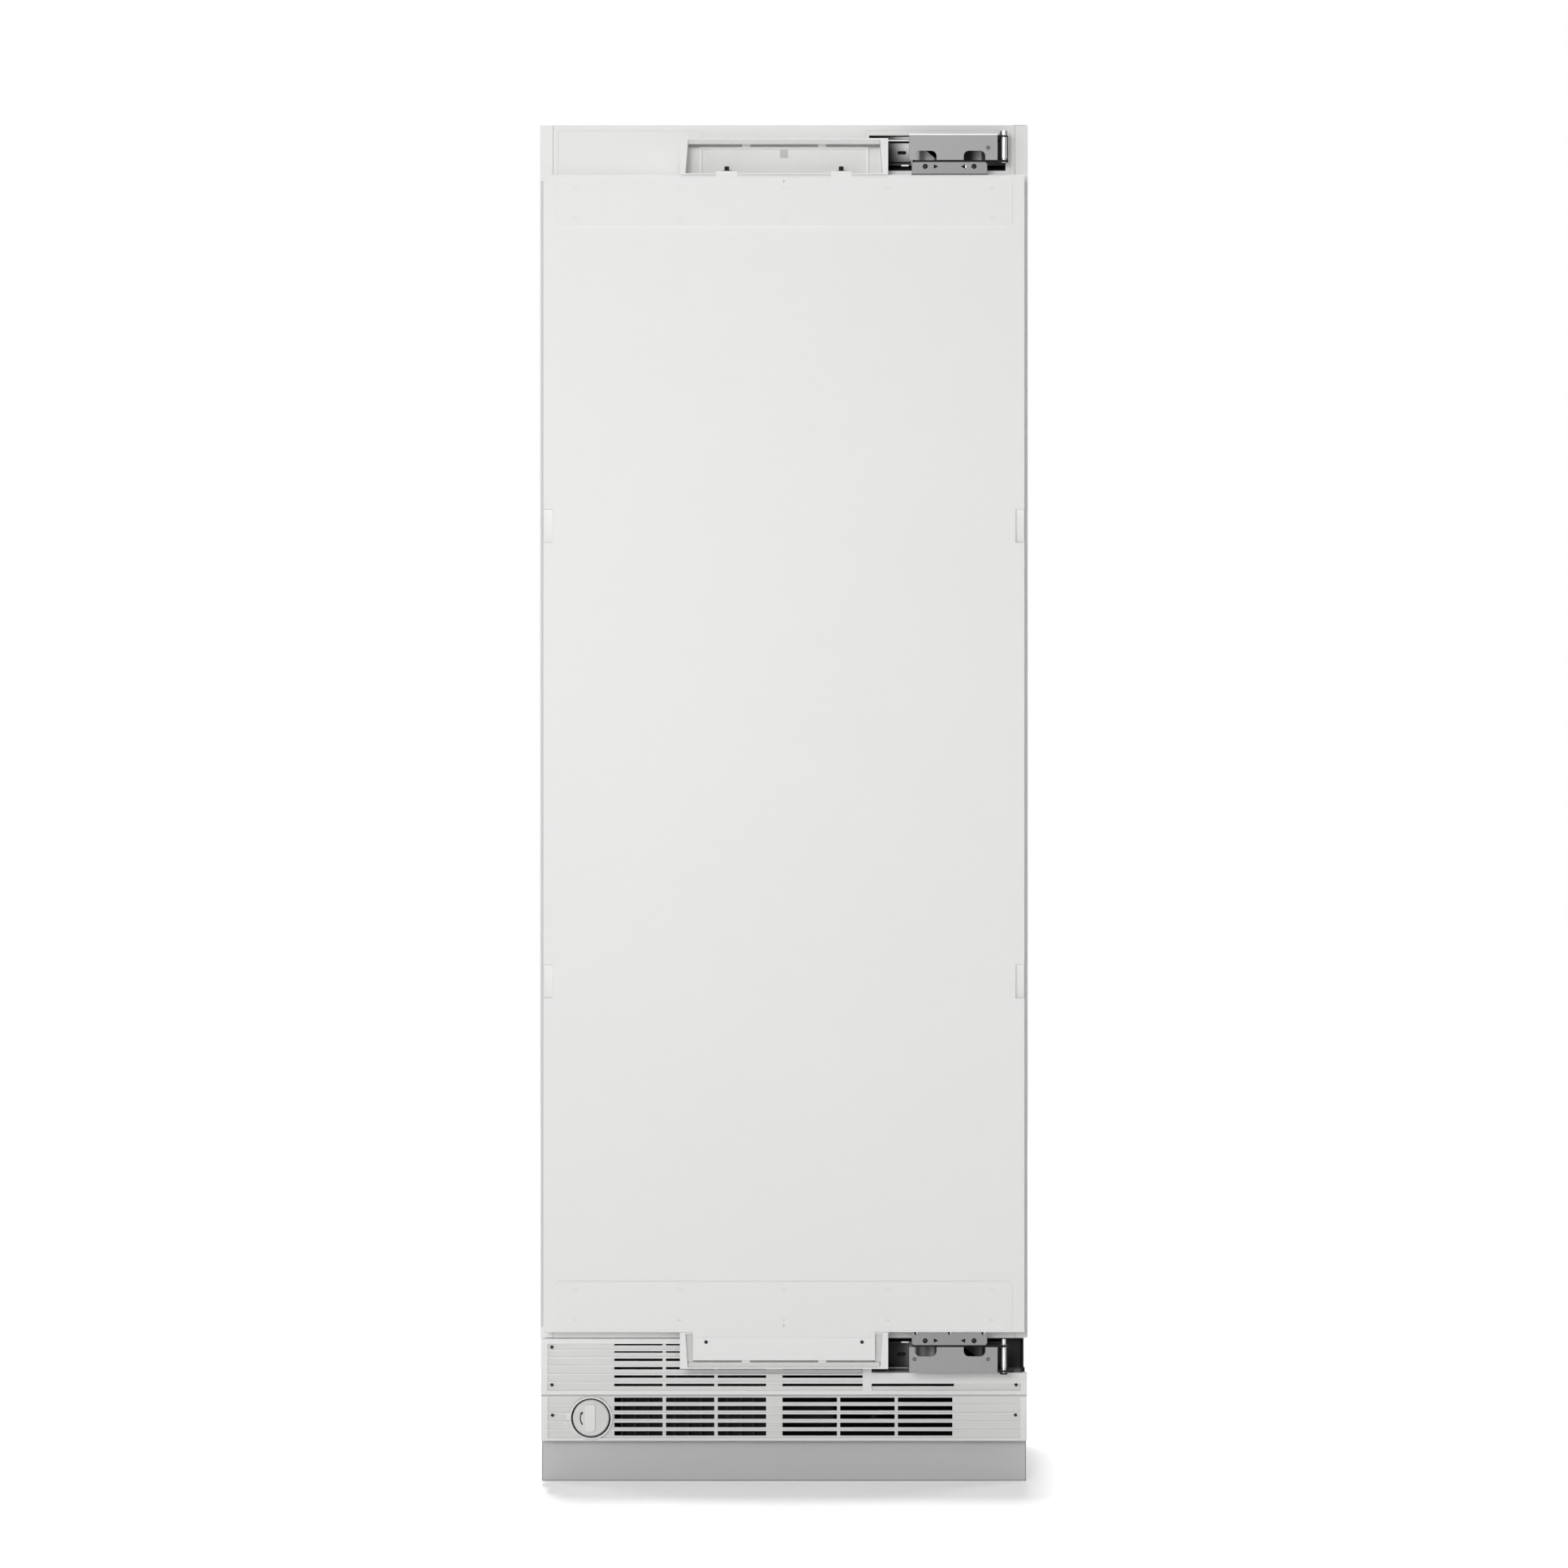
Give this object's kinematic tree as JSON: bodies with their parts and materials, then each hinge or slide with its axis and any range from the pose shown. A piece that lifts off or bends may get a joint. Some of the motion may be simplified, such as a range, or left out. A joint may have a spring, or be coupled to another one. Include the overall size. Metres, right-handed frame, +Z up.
{
  "type": "column refrigerator",
  "caption": "Tall panel-ready column refrigerator with a right-hinged door, mounting plates, exposed hinges, ventilation grilles, filter cap and toe kick.",
  "frame": {"origin": "on the floor, under the middle of the whole object's box", "axes": "+Z up; the door faces -Y; the hinge side is +X"},
  "size_m": [0.756, 0.608, 2.108],
  "materials": {
    "white_paint": "smooth white powder coat",
    "white_plastic": "satin white moulded plastic",
    "foam": "rigid insulation foam",
    "grey_steel": "matte grey zinc-coated steel",
    "chrome": "polished",
    "black_plastic": "matte black moulded plastic",
    "gasket_rubber": "soft light grey seal",
    "clear_plastic": "clear moulded plastic",
    "shelf_glass": "clear toughened glass",
    "black_steel": "satin black",
    "dark_steel": "dark coated steel",
    "toe_paint": "plain grey coated steel",
    "filter_plastic": "black seal ring on a moulded canister",
    "aluminium": "plain fins"
  },
  "bodies": {
    "cabinet": {"cabinet_wrap": "white_paint", "foam_insulation": "foam", "inner_liner": "white_plastic", "front_frame": "white_paint", "side_trim_left": "white_paint", "side_trim_right": "white_paint", "top_fascia": "white_plastic", "hinge_cover_blank": "white_plastic", "hinge_cover_surround": "white_plastic", "hinge_pocket_upper": "black_plastic", "hinge_pocket_lower": "black_plastic", "hinge_mount_upper": "grey_steel", "hinge_mount_lower": "grey_steel", "hinge_pin_upper": "chrome", "hinge_pin_lower": "chrome", "glass_shelf_lower": "shelf_glass", "glass_shelf_middle": "shelf_glass", "glass_shelf_upper": "shelf_glass", "crisper_cover": "shelf_glass", "control_panel": "black_plastic", "evaporator_cover": "white_plastic", "evaporator": "aluminium", "upper_grille": "white_plastic", "lower_grille": "white_plastic", "toe_kick": "toe_paint", "base_frame": "dark_steel", "rear_cover": "dark_steel", "power_inlet": "black_plastic", "filter_housing": "white_plastic", "condenser": "black_steel", "condenser_fan_shroud": "black_plastic", "compressor": "black_steel", "drain_pan": "black_plastic"},
    "door": {"hinge_leaf_upper": "grey_steel", "hinge_leaf_lower": "grey_steel", "hinge_door_bracket_upper": "grey_steel", "hinge_door_bracket_lower": "grey_steel", "door_outer_panel": "white_paint", "door_foam": "foam", "door_liner": "white_plastic", "door_gasket": "gasket_rubber", "door_bin_lower": "clear_plastic", "door_bin_middle": "clear_plastic", "door_bin_upper": "clear_plastic", "mounting_plate_upper": "white_paint", "mounting_plate_lower": "white_paint", "panel_tray_upper": "white_plastic", "panel_tray_lower": "white_plastic"},
    "adjuster_left": {"panel_adjuster_left": "black_steel"},
    "adjuster_right": {"panel_adjuster_right": "black_steel"},
    "drawer_lower": {"crisper_drawer_lower": "clear_plastic"},
    "drawer_upper": {"crisper_drawer_upper": "clear_plastic"},
    "cold_fan": {"evaporator_fan": "black_plastic"},
    "hot_fan": {"condenser_fan": "black_plastic"},
    "cartridge": {"filter_cartridge": "filter_plastic"},
    "cap": {"filter_cap": "white_plastic"},
    "foot_left": {"front_foot_left": "dark_steel"},
    "foot_right": {"front_foot_right": "dark_steel"},
    "roller_left": {"rear_roller_left": "black_plastic"},
    "roller_right": {"rear_roller_right": "black_plastic"}
  },
  "joints": [
    {"name": "door_swing", "type": "hinge", "parent": "cabinet", "child": "door", "pos_m": [0.3384, -0.2882, 1.1335], "axis": [0, 0, 1], "range_deg": [0, 115]},
    {"name": "adjuster_left_turn", "type": "hinge", "parent": "door", "child": "adjuster_left", "pos_m": [-0.088, -0.2902, 2.03], "axis": [0, 0, 1], "continuous": true},
    {"name": "adjuster_right_turn", "type": "hinge", "parent": "door", "child": "adjuster_right", "pos_m": [0.088, -0.2902, 2.03], "axis": [0, 0, 1], "continuous": true},
    {"name": "drawer_lower_slide", "type": "slide", "parent": "cabinet", "child": "drawer_lower", "axis": [0, -1, 0], "range_m": [0, 0.078]},
    {"name": "drawer_upper_slide", "type": "slide", "parent": "cabinet", "child": "drawer_upper", "axis": [0, -1, 0], "range_m": [0, 0.078]},
    {"name": "cold_fan_spin", "type": "hinge", "parent": "cabinet", "child": "cold_fan", "pos_m": [0, 0.221, 1.5064], "axis": [0, 1, 0], "continuous": true},
    {"name": "hot_fan_spin", "type": "hinge", "parent": "cabinet", "child": "hot_fan", "pos_m": [-0.14, -0.1129, 0.142], "axis": [0, 1, 0], "continuous": true},
    {"name": "cartridge_slide", "type": "slide", "parent": "cabinet", "child": "cartridge", "axis": [0, -1, 0], "range_m": [0, 0.25]},
    {"name": "cap_turn", "type": "hinge", "parent": "cartridge", "child": "cap", "pos_m": [-0.2995, -0.2212, 0.103], "axis": [0, 1, 0], "range_deg": [0, 90]},
    {"name": "foot_left_turn", "type": "hinge", "parent": "cabinet", "child": "foot_left", "pos_m": [-0.334, -0.15, 0.03], "axis": [0, 0, 1], "continuous": true},
    {"name": "foot_right_turn", "type": "hinge", "parent": "cabinet", "child": "foot_right", "pos_m": [0.334, -0.15, 0.03], "axis": [0, 0, 1], "continuous": true},
    {"name": "roller_left_roll", "type": "hinge", "parent": "cabinet", "child": "roller_left", "pos_m": [-0.334, 0.252, 0.024], "axis": [1, 0, 0], "continuous": true},
    {"name": "roller_right_roll", "type": "hinge", "parent": "cabinet", "child": "roller_right", "pos_m": [0.334, 0.252, 0.024], "axis": [1, 0, 0], "continuous": true}
  ]
}
